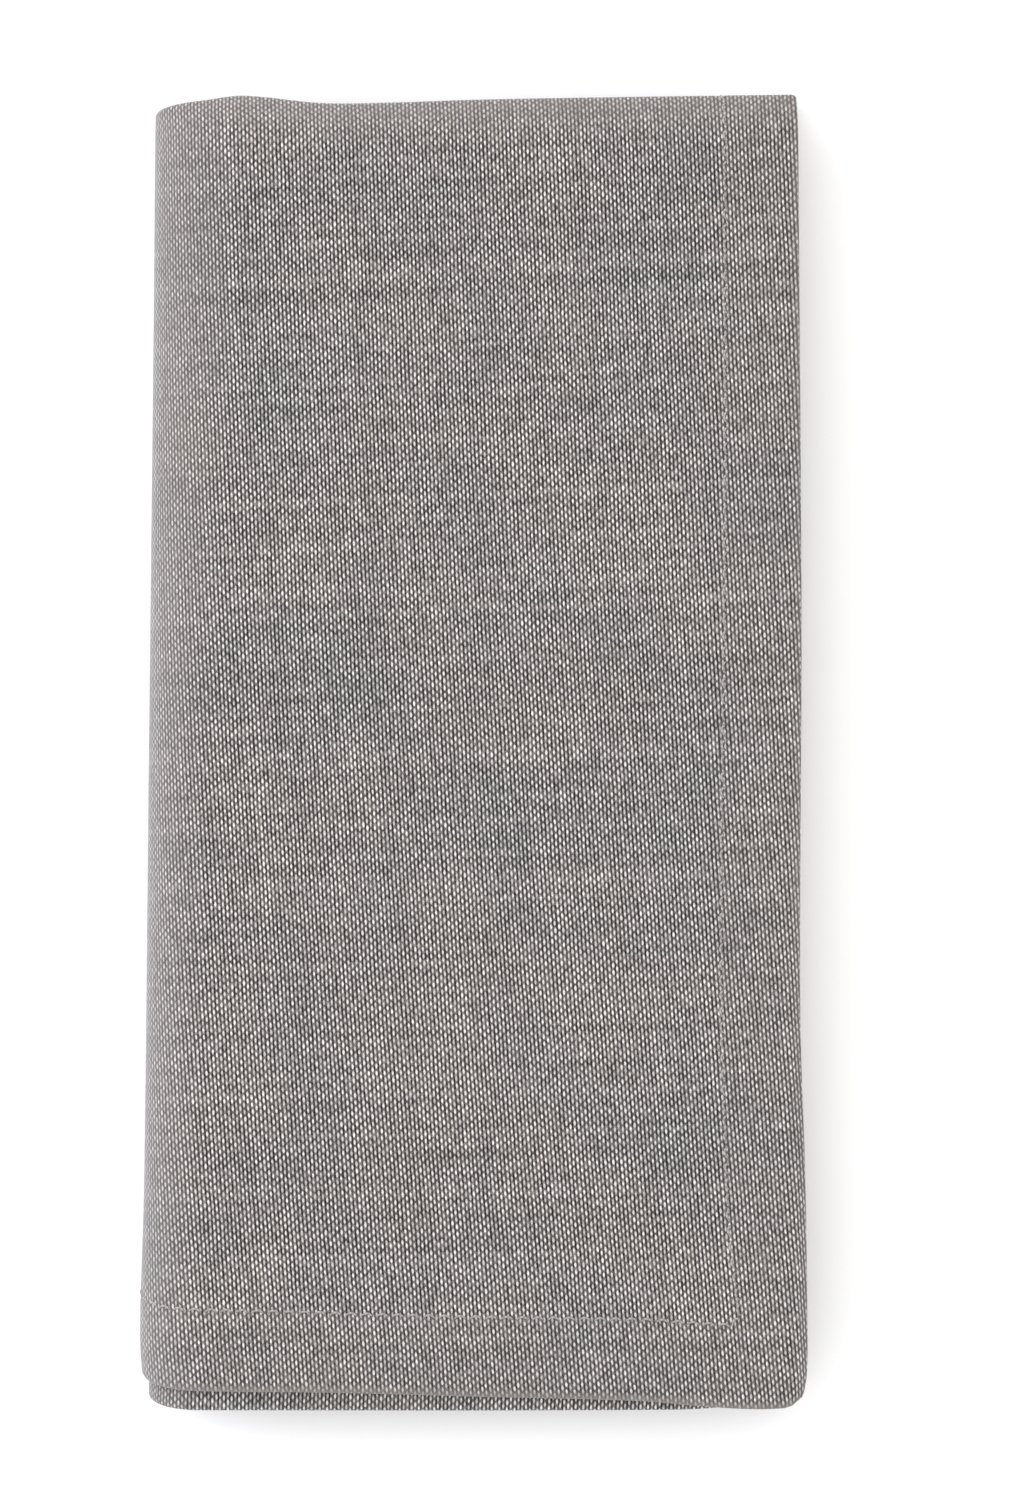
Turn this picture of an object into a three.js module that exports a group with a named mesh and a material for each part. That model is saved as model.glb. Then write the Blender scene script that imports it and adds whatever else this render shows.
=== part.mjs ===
// A cotton table runner, folded for the shelf: six runs back and forth over its length, and then the
// pack of runs folded once down its middle. It lies flat with the fold at the left, its open long edges
// at the right, and the hem of its outermost run at the front. Laid out it is about 300 by 1800 mm.
// Millimetres, +Z up, +X right and +Y back. The origin is the middle of the footprint, on the surface
// that the runner lies on.
import * as THREE from "three";

// The cloth. The hems are turned over on themselves, so they are thicker. cornerRound is the distance
// from the open edge within which the corners of the hems curve away.
const sheetThickness = 1.0;
const hemThickness = 1.2;
const hemDepth = 18;
const hemStep = 1.5;
const cornerRound = 4;
const clothColour = 0x8d8a88;

// The pack of runs. A level is a place in the pack: 0 is the outermost run and 5 the innermost.
const innermostLevel = 5;
const levelsToMiddle = 5.75;
const packPitch = 1.65;
const crestPitch = 2.35;
const middleHeight = sheetThickness / 2 + levelsToMiddle * packPitch;

// The rolled left edge. Its layers lie closest together where they turn over at the far left.
const rollPitch = 1.6;
const outerUnderReach = 10;
const innermostReach = 1.7;
const crestX = -60;

// The loops of the folds at the front and the back, which turn a run over into the next one. meanPitch
// is the spacing of the layers there, on which a loop's height in levels is worked out.
const loopSteps = 5;
const meanPitch = 2.0;

// The outline seen from above: the left and right edges at places from front to back, and how far the
// outermost roll reaches in from the left edge before it is level.
const leftEdge = [
  { y: -154, x: -78.2 },
  { y: -147, x: -78.1 },
  { y: -137, x: -78.6 },
  { y: -100, x: -77.6 },
  { y: 0, x: -76.5 },
  { y: 100, x: -75.4 },
  { y: 148, x: -75.0 },
];
const rightEdge = [
  { y: -152, x: 76.6 },
  { y: -149, x: 77.5 },
  { y: -145, x: 78.0 },
  { y: -137, x: 78.1 },
  { y: -100, x: 77.6 },
  { y: -60, x: 76.4 },
  { y: 30, x: 76.7 },
  { y: 150, x: 75.9 },
];
const rollReach = [
  { y: -150, reach: 15 },
  { y: -60, reach: 14 },
  { y: 20, reach: 16 },
  { y: 80, reach: 20 },
  { y: 150, reach: 22 },
];

// The front and back outlines from left to right: the fold at the back, the hem at the front, and the
// fold that shows below that hem.
const backFold = [
  { x: -75.2, y: 150.2 },
  { x: -73.5, y: 151.3 },
  { x: -70, y: 152.2 },
  { x: -62.6, y: 153.0 },
  { x: -54, y: 153.9 },
  { x: -36, y: 152.2 },
  { x: -20, y: 152.3 },
  { x: 0, y: 153.0 },
  { x: 30, y: 153.6 },
  { x: 75.5, y: 154.3 },
];
const frontHem = [
  { x: -78, y: -147.0 },
  { x: -76.6, y: -148.5 },
  { x: -74.5, y: -149.2 },
  { x: -69, y: -149.8 },
  { x: -34, y: -150.3 },
  { x: 1, y: -151.3 },
  { x: 39, y: -152.4 },
  { x: 53, y: -153.6 },
  { x: 63, y: -154.3 },
  { x: 71, y: -154.3 },
  { x: 74.4, y: -153.7 },
  { x: 76.6, y: -151.6 },
];
const frontFold = [
  { x: -76.4, y: -151.8 },
  { x: -75.2, y: -152.8 },
  { x: -72.9, y: -153.6 },
  { x: -68, y: -154.1 },
  { x: -63, y: -154.2 },
  { x: 48, y: -154.2 },
  { x: 62, y: -153.2 },
  { x: 76, y: -150.8 },
];

// The ends of the runs, from the outer hem to the inner one. Run 0 lies between the first two rows, and
// so on. setBack is how far the end lies inside its outline, and below is what the lower half adds to
// that. The end sinks by sag levels over its last sagSpan millimetres, where shorter folds leave room.
// loop is the radius to which the fold opens there, and a hem has none.
const ends = [
  { outline: frontHem, towards: -1, setBack: 0, below: 1.4, loop: 0, sag: 0.3, sagSpan: 7 },
  { outline: backFold, towards: 1, setBack: 0, below: 0.8, loop: 1.3, sag: 2.3, sagSpan: 9 },
  { outline: frontFold, towards: -1, setBack: 0, below: 0.9, loop: 1.0, sag: 0.7, sagSpan: 6 },
  { outline: backFold, towards: 1, setBack: 8.6, below: -0.6, loop: 0.9, sag: 0.2, sagSpan: 6 },
  { outline: frontFold, towards: -1, setBack: 4.6, below: 0.7, loop: 0.9, sag: 0.1, sagSpan: 6 },
  { outline: backFold, towards: 1, setBack: 9.9, below: 0.5, loop: 0.9, sag: 0, sagSpan: 6 },
  { outline: frontFold, towards: -1, setBack: 7.4, below: -1.1, loop: 0, sag: 0, sagSpan: 6 },
];

// How far the open long edge of each run lies inside the right outline, above and below the middle.
const openEdges = [
  { upper: 0, lower: 1.2 },
  { upper: 1.3, lower: 0.8 },
  { upper: 0.9, lower: 1.9 },
  { upper: 2.1, lower: 1.4 },
  { upper: 1.5, lower: 2.4 },
  { upper: 2.3, lower: 1.8 },
];

function mix(from, to, share) {
  return from + (to - from) * share;
}

// One column of a table, read between its rows on a smooth curve through them.
function readTable(rows, place, column, at) {
  const last = rows.length - 1;
  const clamped = THREE.MathUtils.clamp(at, rows[0][place], rows[last][place]);
  const next = Math.max(1, rows.findIndex((row) => row[place] >= clamped));
  const slopeAt = (index) => {
    const before = rows[Math.max(index - 1, 0)];
    const after = rows[Math.min(index + 1, last)];
    return (after[column] - before[column]) / (after[place] - before[place]);
  };
  const span = rows[next][place] - rows[next - 1][place];
  const share = (clamped - rows[next - 1][place]) / span;
  const ease = share * share * (3 - 2 * share);
  const leaving = share * (1 - share) * (1 - share) * span * slopeAt(next - 1);
  const arriving = share * share * (share - 1) * span * slopeAt(next);
  return mix(rows[next - 1][column], rows[next][column], ease) + leaving + arriving;
}

// Places across the cloth, from the open edge of its upper half round the roll to the open edge of its
// lower half. On the flats a place is a distance from the open edge, or a share of the way from the hem
// to the roll. On the roll it is an angle above or below the far left.
function acrossPlaces() {
  const fromEdge = [0, cornerRound, hemDepth - hemStep / 2, hemDepth + hemStep / 2];
  const shares = [0.35, 0.7];
  const flat = [...fromEdge.map((distance) => ({ distance })), ...shares.map((share) => ({ share }))];
  const angles = [90, 74, 59, 45, 32, 19, 6, -10, -30, -52, -72, -90];
  const roll = angles.map((degrees) => ({ angle: THREE.MathUtils.degToRad(degrees) }));
  const upper = flat.map((place) => ({ ...place, half: 1 }));
  const lower = flat.map((place) => ({ ...place, half: -1 })).reverse();
  return [...upper, ...roll, ...lower];
}

// Places along the cloth, from the outer hem to the inner one. Each is a run, one of its two ends and
// the distance from that end's hem or loop, or a share of the way between the ends, or a turn of a loop.
function alongPlaces() {
  const nearFront = [0, 3, 7, 12];
  const nearBack = [0, 3, 6, 9, 13];
  const hemRows = [hemDepth - hemStep / 2, hemDepth + hemStep / 2];
  const rowsAt = (end) => [...(end.towards < 0 ? nearFront : nearBack), ...(end.loop === 0 ? hemRows : [])];
  const places = [];
  for (let run = 0; run <= innermostLevel; run += 1) {
    const [start, finish] = [ends[run], ends[run + 1]];
    places.push(...rowsAt(start).map((distance) => ({ run, end: start, distance })));
    places.push(...[0.35, 0.65].map((share) => ({ run, start, finish, share })));
    places.push(...rowsAt(finish).reverse().map((distance) => ({ run, end: finish, distance })));
    if (finish.loop === 0) continue;
    for (let step = 1; step < loopSteps; step += 1) {
      places.push({ run, end: finish, distance: 0, turn: (Math.PI * step) / loopSteps });
    }
  }
  return places;
}

// Height of one layer pitch above the middle of the pack: least at the open edges, most at the roll.
function upperPitch(x) {
  const share = THREE.MathUtils.clamp((rightEdge[0].x - x) / (rightEdge[0].x - crestX), 0, 1);
  return mix(packPitch, crestPitch, share);
}

// Whether a place lies above the middle of the pack.
function isAbove(across) {
  return across.angle === undefined ? across.half > 0 : across.angle >= 0;
}

// Where the roll of one level turns over, and how far it reaches in from there.
function rollAt(y, level, above) {
  const depth = level / innermostLevel;
  const left = readTable(leftEdge, "y", "x", y) + sheetThickness / 2 + rollPitch * level;
  const upper = mix(readTable(rollReach, "y", "reach", y), innermostReach, depth);
  const under = mix(outerUnderReach, innermostReach, depth);
  return { left, reach: above ? upper : under };
}

// Where the open long edge of one level lies, from left to right.
function openEdgeAt(y, level, above) {
  const side = above ? "upper" : "lower";
  const inner = THREE.MathUtils.clamp(Math.ceil(level), 1, innermostLevel);
  const inset = mix(openEdges[inner - 1][side], openEdges[inner][side], level - inner + 1);
  return readTable(rightEdge, "y", "x", y) - inset;
}

// Where a place across the cloth lies, from left to right.
function acrossX(across, y, level) {
  const above = isAbove(across);
  const roll = rollAt(y, level, above);
  if (across.angle !== undefined) return roll.left + roll.reach * (1 - Math.cos(across.angle));
  const open = openEdgeAt(y, level, above);
  if (across.distance !== undefined) return open - across.distance;
  return mix(open - hemDepth - hemStep / 2, roll.left + roll.reach, across.share);
}

// How high a place across the cloth lies.
function acrossHeight(across, x, { y, level, sinking }) {
  const above = isAbove(across);
  const layers = levelsToMiddle - level - sinking;
  if (across.angle === undefined) {
    return middleHeight + (above ? layers * upperPitch(x) : -layers * packPitch);
  }
  const roll = rollAt(y, level, above);
  const rise = above ? layers * upperPitch(roll.left + roll.reach) : layers * packPitch;
  return middleHeight + rise * Math.sin(across.angle);
}

// How much of an end's sag a place across the cloth takes: all of it above, none below.
function sagShare(across) {
  if (across.angle === undefined) return across.half > 0 ? 1 : 0;
  return ((1 + Math.sin(across.angle)) / 2) ** 2;
}

// How far back or forward the hem or the middle of the loop at an end of a run lies.
function endPlace(end, across, level) {
  const farthest = end.outline[end.outline.length - 1].y;
  const x = acrossX(across, farthest, level);
  const reach = readTable(end.outline, "x", "y", x);
  const inset = end.setBack + end.below * (1 - sagShare(across)) + end.loop + sheetThickness / 2;
  return reach - end.towards * inset;
}

// Where the cloth lies near an end of a run, as a place from front to back, a level, and how many levels
// it has sunk below that. The two runs of a fold lie either side of one line, which sinks towards the
// end. Their loop goes round its last point.
function nearEnd(along, across) {
  const { end, run, distance } = along;
  const runBefore = ends.indexOf(end) - 1;
  const near = Math.max(0, 1 - distance / end.sagSpan);
  const sag = end.sag * sagShare(across);
  const tilt = Math.atan((2 * sag * near * meanPitch) / end.sagSpan);
  const halfGap = end.loop === 0 ? 0 : mix(meanPitch / 2, end.loop, near * near);
  const line = end.loop === 0 ? run : runBefore + halfGap / meanPitch;
  const turn = along.turn ?? (run === runBefore ? 0 : Math.PI);
  const outwards = end.loop * Math.sin(turn);
  const inwards = -halfGap * Math.cos(turn);
  const past = outwards * Math.cos(tilt) - inwards * Math.sin(tilt);
  const sunk = outwards * Math.sin(tilt) + inwards * Math.cos(tilt);
  const y = endPlace(end, across, line) + end.towards * (past - distance);
  return { y, level: line + sunk / meanPitch, sinking: sag * near * near };
}

// A point on the middle surface of the cloth.
function clothPoint(across, along) {
  let place;
  if (along.end) {
    place = nearEnd(along, across);
  } else {
    const [front, back] = [along.start, along.finish].map((end) => endPlace(end, across, along.run));
    place = { y: mix(front, back, along.share), level: along.run, sinking: 0 };
  }
  const x = acrossX(across, place.y, place.level);
  return new THREE.Vector3(x, place.y, acrossHeight(across, x, place));
}

// How far the two faces of the cloth lie from its middle surface. A hem's fold lies on the wrong side
// of the outermost run, whose right side stays flat, and evenly on the runs within.
function faceOffsets(across, along) {
  const sideHem = across.distance !== undefined && across.distance < hemDepth;
  const endHem = along.end?.loop === 0 && along.distance < hemDepth;
  const thickness = sideHem || endHem ? hemThickness : sheetThickness;
  const extra = thickness - sheetThickness;
  const wrongShare = along.run === 0 ? 1 : 0.5;
  const right = sheetThickness / 2 + extra * (1 - wrongShare);
  return { right, wrong: thickness - right };
}

// The two faces of the cloth as one grid of points each, joined round the cut edge.
function runnerGeometry() {
  const across = acrossPlaces();
  const along = alongPlaces();
  const grid = across.map((place) => along.map((row) => clothPoint(place, row)));
  const [lastAcross, lastAlong] = [across.length - 1, along.length - 1];
  const positions = [];
  const corner = (i, j, wrongSide) => 2 * (i * along.length + j) + (wrongSide ? 1 : 0);
  for (let i = 0; i <= lastAcross; i += 1) {
    for (let j = 0; j <= lastAlong; j += 1) {
      const overWidth = grid[Math.min(i + 1, lastAcross)][j].clone().sub(grid[Math.max(i - 1, 0)][j]);
      const overLength = grid[i][Math.min(j + 1, lastAlong)].clone().sub(grid[i][Math.max(j - 1, 0)]);
      const normal = overWidth.cross(overLength).normalize();
      const offsets = faceOffsets(across[i], along[j]);
      positions.push(...grid[i][j].clone().addScaledVector(normal, -offsets.right));
      positions.push(...grid[i][j].clone().addScaledVector(normal, offsets.wrong));
    }
  }
  const index = [];
  const quad = (a, b, c, d) => index.push(a, b, c, a, c, d);
  for (let i = 0; i < lastAcross; i += 1) {
    for (let j = 0; j < lastAlong; j += 1) {
      const places = [[i, j], [i + 1, j], [i + 1, j + 1], [i, j + 1]];
      quad(...places.map(([m, n]) => corner(m, n, true)));
      quad(...places.reverse().map(([m, n]) => corner(m, n, false)));
    }
  }
  const edge = [];
  for (let i = 0; i < lastAcross; i += 1) edge.push([i, 0]);
  for (let j = 0; j < lastAlong; j += 1) edge.push([lastAcross, j]);
  for (let i = lastAcross; i > 0; i -= 1) edge.push([i, lastAlong]);
  for (let j = lastAlong; j > 0; j -= 1) edge.push([0, j]);
  edge.forEach(([i, j], place) => {
    const [m, n] = edge[(place + 1) % edge.length];
    quad(corner(i, j, false), corner(m, n, false), corner(m, n, true), corner(i, j, true));
  });
  const geometry = new THREE.BufferGeometry();
  geometry.setAttribute("position", new THREE.Float32BufferAttribute(positions, 3));
  geometry.setIndex(index);
  geometry.computeVertexNormals();
  return geometry;
}

const cotton = new THREE.MeshStandardMaterial({ color: clothColour, roughness: 0.95, metalness: 0 });
const runnerCloth = new THREE.Mesh(runnerGeometry(), cotton);
runnerCloth.name = "runner_cloth";

const foldedTableRunner = new THREE.Group();
foldedTableRunner.add(runnerCloth);

export default foldedTableRunner;
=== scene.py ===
"""A folded cotton table runner: its woven cloth and the sewing of its hems.

The cloth is laid flat, sewn, and then folded: six runs back and forth over its length, and the pack of
runs once down its middle. The shape is worked out in millimetres, and MM turns it into the scene's
metres. +X is right, +Y is back and +Z is up.
"""

import functools
import math
from collections import namedtuple

import bpy
import numpy as np
from bpy.props import FloatProperty, FloatVectorProperty, PointerProperty
from bpy.types import Operator, Panel, PropertyGroup
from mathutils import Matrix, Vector, noise


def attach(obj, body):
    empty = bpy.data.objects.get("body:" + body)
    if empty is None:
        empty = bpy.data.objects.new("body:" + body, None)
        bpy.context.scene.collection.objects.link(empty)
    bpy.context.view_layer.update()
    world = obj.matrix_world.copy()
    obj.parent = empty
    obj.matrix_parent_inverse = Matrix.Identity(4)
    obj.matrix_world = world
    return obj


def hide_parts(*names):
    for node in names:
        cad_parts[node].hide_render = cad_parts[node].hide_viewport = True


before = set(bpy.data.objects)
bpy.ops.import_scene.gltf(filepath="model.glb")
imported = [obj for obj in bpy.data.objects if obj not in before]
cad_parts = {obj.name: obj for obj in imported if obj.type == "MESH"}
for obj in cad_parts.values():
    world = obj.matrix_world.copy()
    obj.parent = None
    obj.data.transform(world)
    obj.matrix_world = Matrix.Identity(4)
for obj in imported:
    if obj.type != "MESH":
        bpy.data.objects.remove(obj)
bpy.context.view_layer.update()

bl_info = {
    "name": "Folded table runner",
    "version": (1, 0, 0),
    "blender": (4, 5, 0),
    "location": "3D View > Sidebar > Table runner",
    "description": "Folds, weaves and sews a cotton table runner and sets its studio",
    "category": "Object",
}

MM = 0.001

# The cloth. Its hems are turned over on themselves, so they are thicker.
SHEET_THICKNESS = 1.0
HEM_THICKNESS = 1.2
HEM_DEPTH = 18
HEM_STEP = 1.5
FLAT_WIDTH = 300
FLAT_LENGTH = 1800

# The pack of runs. A level is a place in the pack: 0 is the outermost run and 5 the innermost.
INNERMOST_LEVEL = 5
LEVELS_TO_MIDDLE = 5.75
PACK_PITCH = 1.65
CREST_PITCH = 2.35
MIDDLE_HEIGHT = SHEET_THICKNESS / 2 + LEVELS_TO_MIDDLE * PACK_PITCH

# The rolled left edge, and the spacing of the layers in the loops at the front and the back.
ROLL_PITCH = 1.6
OUTER_UNDER_REACH = 10
INNERMOST_REACH = 1.7
CREST_X = -60
MEAN_PITCH = 2.0

# The outline seen from above. LEFT_EDGE, RIGHT_EDGE: y, x. ROLL_REACH: y, and how far the outermost roll
# reaches in from the left edge before it is level. BACK_FOLD, FRONT_HEM, FRONT_FOLD: x, y.
LEFT_EDGE = (
    (-154, -78.2), (-147, -78.1), (-137, -78.6), (-100, -77.6), (0, -76.5), (100, -75.4), (148, -75.0),
)
RIGHT_EDGE = (
    (-152, 76.6), (-149, 77.5), (-145, 78.0), (-137, 78.1), (-100, 77.6), (-60, 76.4), (30, 76.7),
    (150, 75.9),
)
ROLL_REACH = ((-150, 15), (-60, 14), (20, 16), (80, 20), (150, 22))
BACK_FOLD = (
    (-75.2, 150.2), (-73.5, 151.3), (-70, 152.2), (-62.6, 153.0), (-54, 153.9), (-36, 152.2),
    (-20, 152.3), (0, 153.0), (30, 153.6), (75.5, 154.3),
)
FRONT_HEM = (
    (-78, -147.0), (-76.6, -148.5), (-74.5, -149.2), (-69, -149.8), (-34, -150.3), (1, -151.3),
    (39, -152.4), (53, -153.6), (63, -154.3), (71, -154.3), (74.4, -153.7), (76.6, -151.6),
)
FRONT_FOLD = (
    (-76.4, -151.8), (-75.2, -152.8), (-72.9, -153.6), (-68, -154.1), (-63, -154.2), (48, -154.2),
    (62, -153.2), (76, -150.8),
)

# The ends of the runs, from the outer hem to the inner one. Run 0 lies between the first two, and so on.
# set_back is how far the end lies inside its outline, and below is what the lower half adds to that. The
# end sinks by sag levels over its last sag_span. loop is the radius of the fold there, and a hem has none.
RunEnd = namedtuple("RunEnd", "outline towards set_back below loop sag sag_span")
ENDS = (
    RunEnd(FRONT_HEM, -1, 0, 1.4, 0, 0.3, 7),
    RunEnd(BACK_FOLD, 1, 0, 0.8, 1.3, 2.3, 9),
    RunEnd(FRONT_FOLD, -1, 0, 0.9, 1.0, 0.7, 6),
    RunEnd(BACK_FOLD, 1, 8.6, -0.6, 0.9, 0.2, 6),
    RunEnd(FRONT_FOLD, -1, 4.6, 0.7, 0.9, 0.1, 6),
    RunEnd(BACK_FOLD, 1, 9.9, 0.5, 0.9, 0, 6),
    RunEnd(FRONT_FOLD, -1, 7.4, -1.1, 0, 0, 6),
)

# The place in ENDS of the fold at the back that shows from above.
BACK_END = 1

# How far the open long edge of each run lies inside the right outline: above the middle, and below it.
OPEN_EDGES = ((0, 1.2), (1.3, 0.8), (0.9, 1.9), (2.1, 1.4), (1.5, 2.4), (2.3, 1.8))

# Rows of the sheet's grid. RIM_ROWS follow the round of a hem's edge and HEM_ROWS the flat of the hem and
# its seam, as distances from the edge. FOLD_ROWS are distances from a loop.
RIM_ROWS = (0, 0.06, 0.2, 0.4, 0.6)
HEM_ROWS = (1.2, 2.2, 4, 6.5, 9, 11.5, 13.5, 14.5, 15.4, 16.2, 17, 17.8, 18.6, 19.5, 20.5)
FOLD_ROWS = (0, 0.7, 1.5, 2.3, 3.2, 4.2, 5.4, 6.8, 8.4, 10.5, 13)
UPPER_STEPS = 34
LOWER_STEPS = 14
OUTER_RUN_STEPS = 56
INNER_RUN_STEPS = 12
ROLL_STEPS_ABOVE = 20
ROLL_STEPS_BELOW = 12
LOOP_STEPS = 8

# Where the seams run, as a distance from the hem's edge. SIDE_SEAM: distance along the cloth, distance
# in. END_SEAM: distance across the cloth, distance in.
SIDE_SEAM = (
    (16, 15.8), (24, 16.2), (32, 17.2), (42, 18.2), (57, 18.5), (80, 18.5), (150, 18.4), (220, 17.7),
    (300, 17.2),
)
END_SEAM = ((14, 18.9), (60, 18.2), (105, 18.0), (140, 18.5), (160, 18.4))
SEAM_GROOVE = 0.14
SEAM_GROOVE_WIDTH = 0.9

# The slanting stitch that turns a corner cuts this much off each of the two seams.
CORNER_CUT = 2.5

# The form of a stitch: the sides and the lengths that its thread is made of, and in radii of the thread
# how high its middle lies above the cloth and how deep its ends dive.
STITCH_SIDES = 5
STITCH_STEPS = 6
STITCH_HEIGHT = 0.45
STITCH_DIVE = 1.3

# The top layer's own unevenness: how long its swells are across and along the cloth, the slice of noise
# that they are taken from, and how high they rise.
Swell = namedtuple("Swell", "across along slice height")
SWELLS = (Swell(42, 65, 3.1, 0.16), Swell(14, 19, 8.4, 0.05))

# The nap, a veil of loose fibres: how far it reaches from the back fold and from a rim, and how much of it
# there is at the fold, at a side's and an end's rim, on a seam and on a hem. The rolled edge has 1. At an
# end's rim and along a seam's groove the veil also darkens the cloth as painted shade.
NAP_AT_FOLD = 10
NAP_AT_RIM = 2.6
FOLD_NAP = 0.8
SIDE_RIM_NAP = 0.8
END_RIM_NAP_AND_SHADE = 1.4
SEAM_NAP_AND_SHADE = 0.35
HEM_NAP = 0.12

# The lean of the threads against the outline, in degrees: what it is at the middle, and what it gains
# with each millimetre to the right and to the back. Past LEAN_REACH it gains no more.
WARP_LEAN = (3.8, 0.0078, -0.0092)
WEFT_RISE = (2.05, 0.0006, 0.0098)
LEAN_REACH = Vector((80, 155))

# The bends of a thread that doesn't run quite straight: how long they are and how far they reach, in metres.
BENDS = ((0.0025, 0.00012), (0.009, 0.00025), (0.045, 0.0006))

# A float is where one thread crosses over another: how far it reaches from its middle, in threads across
# and in repeats along, and the shares of that reach at which it begins to show and shows fully. The weft's
# floats stand WEFT_RELIEF as high as the warp's.
WARP_FLOAT = (0.375, 0.43)
WARP_SHOWS = (1.05, 0.4)
WEFT_FLOAT = (0.44, 0.38)
WEFT_SHOWS = (1.1, 0.4)
WEFT_RELIEF = 0.6

# What chance gives each float of the warp, between two limits: its place across, in threads, how much it
# shrinks, and its tone. Then the tones of each warp thread and each row of the weft, and of the ground
# between the floats. The seeds keep the chances of the warp and the weft apart.
FLOAT_ASIDE = (-0.05, 0.05)
FLOAT_SHRINK = (0.92, 1.08)
FLOAT_TONE = (0.51, 0.87)
WARP_TONE = (0.93, 1.07)
WEFT_TONE = (0.955, 1.045)
GROUND_TONE = (0.8, 1.2)
WARP_SEED = 7.0
WEFT_SEED = 31.0

# The gaps between the threads, which are painted shade: their chance is half their own and half that of
# GAP_RUN gaps in a row. Over GAP_CHANCE they turn from the dark painted shade to GAP_FILL of the way to
# the weft's colour.
GAP_RUN = 3.0
GAP_CHANCE = (0.3, 0.75)
GAP_FILL = 0.45

# Uneven tones: how large their blobs are in metres, the detail of the noise, the values of the noise at
# which they are lowest and highest, and the lowest and highest share of the plain tone.
Uneven = namedtuple("Uneven", "size detail start finish low high")
SLUBS = Uneven(0.006, 3.0, 0.3, 0.7, 0.92, 1.08)
FIBRES = Uneven(0.0005, 1.0, 0.3, 0.7, 0.8, 1.15)
MARKS = Uneven(0.0013, 2.0, 0.35, 0.62, 0.45, 1.15)
STREAKS = Uneven(0.003, 2.0, 0.3, 0.7, 0.95, 1.05)
PATCHES = Uneven(0.035, 2.0, 0.3, 0.7, 0.0, 1.0)
STREAK_STRETCH = (0.06, 1.0, 1.0)
PATCH_TINTS = ((1.065, 1.045, 1.03), (0.945, 0.962, 0.98))

# How much of the threads the nap hides, and the strength of their bump without and with it.
NAP_COVER = 0.55
BUMP_STRENGTH = (0.55, 0.25)

# The cloth's finish: its roughness between the warp's floats and on them, and the sheen of its fibres.
CLOTH_ROUGHNESS = (0.95, 0.8)
SHEEN_TINT = (0.9, 0.93, 1.0)

# The sewing thread: how close the bands of its plies are, how far they waver, the tones of their painted
# shade and light, and their relief in metres. Between two distances from its middle, in lengths of a stitch,
# it darkens with painted shade as it dives into the cloth.
PLY_BANDS = 600.0
PLY_WAVER = 0.6
PLY_SHADE_TONES = (0.8, 1.3)
PLY_RELIEF = 0.00008
DIVE_SHADE = (0.34, 0.48)
DIVE_SHADE_TONE = 0.25

# The photograph's frame: its size in pixels, the size of a pixel, and the pixel that shows the origin.
# That scale holds at OUTLINE_HEIGHT above the floor.
PHOTO_WIDTH = 1024
PHOTO_HEIGHT = 1508
PIXEL = 0.2345
ORIGIN_COLUMN = 474
ORIGIN_ROW = 752
OUTLINE_HEIGHT = 16

# The camera: its sensor along the frame's longer side, in millimetres, and how many times nearer and
# further than the cloth it sees.
SENSOR = 36
CLIP_FACTOR = 20

# The stage, in metres: the floor's width, how far it lies below the cloth, the size of its mottle and
# that mottle's darkest tone, and where the softboxes hang.
FLOOR_SIZE = 8
FLOOR_GAP = 0.0001
MOTTLE_SIZE = 0.2
MOTTLE_TONE = 0.99
SOFTBOX_SIZE = 0.9
LEFT_SOFTBOX = (-1.1, 0.35, 0.62)
BACK_SOFTBOX = (0.1, 1.2, 0.5)


def mix(start, finish, share):
    """A number between two others."""
    return start + (finish - start) * share


def clamp(value, low, high):
    """A number kept between two others."""
    return max(low, min(high, value))


def smooth_step(low, high, value):
    """A smooth rise from 0 at low to 1 at high."""
    share = clamp((value - low) / (high - low), 0, 1)
    return share * share * (3 - 2 * share)


def read_table(rows, at):
    """The second column of a table, read between its rows on a smooth curve through them."""
    last = len(rows) - 1
    place = clamp(at, rows[0][0], rows[last][0])
    upper = 1
    while rows[upper][0] < place:
        upper += 1

    def slope(index):
        before, after = rows[max(index - 1, 0)], rows[min(index + 1, last)]
        return (after[1] - before[1]) / (after[0] - before[0])

    span = rows[upper][0] - rows[upper - 1][0]
    share = (place - rows[upper - 1][0]) / span
    ease = share * share * (3 - 2 * share)
    leaving = share * (1 - share) ** 2 * span * slope(upper - 1)
    arriving = share * share * (share - 1) * span * slope(upper)
    return mix(rows[upper - 1][1], rows[upper][1], ease) + leaving + arriving


# A place across the cloth: a distance from the open edge or a share of the way from the hem to the roll,
# in its upper or lower half, or an angle round the roll.
Across = namedtuple("Across", "above distance share angle", defaults=(None, None, None))

# A place along the cloth: a distance from an end of a run or a turn round its loop, or a share of the way
# between the run's two ends.
Along = namedtuple("Along", "run end distance turn share", defaults=(None, None, None, None))


def across_places():
    """From the open edge of the upper half round the roll to the open edge of the lower half."""
    from_edge = RIM_ROWS + HEM_ROWS
    upper = [Across(True, distance=distance) for distance in from_edge]
    upper += [Across(True, share=step / UPPER_STEPS) for step in range(1, UPPER_STEPS)]
    roll = [90 * (1 - step / ROLL_STEPS_ABOVE) for step in range(ROLL_STEPS_ABOVE + 1)]
    roll += [-90 * step / ROLL_STEPS_BELOW for step in range(1, ROLL_STEPS_BELOW + 1)]
    turned = [Across(angle >= 0, angle=math.radians(angle)) for angle in roll]
    lower = [Across(False, distance=distance) for distance in from_edge]
    lower += [Across(False, share=step / LOWER_STEPS) for step in range(1, LOWER_STEPS)]
    return upper + turned + lower[::-1]


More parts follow.
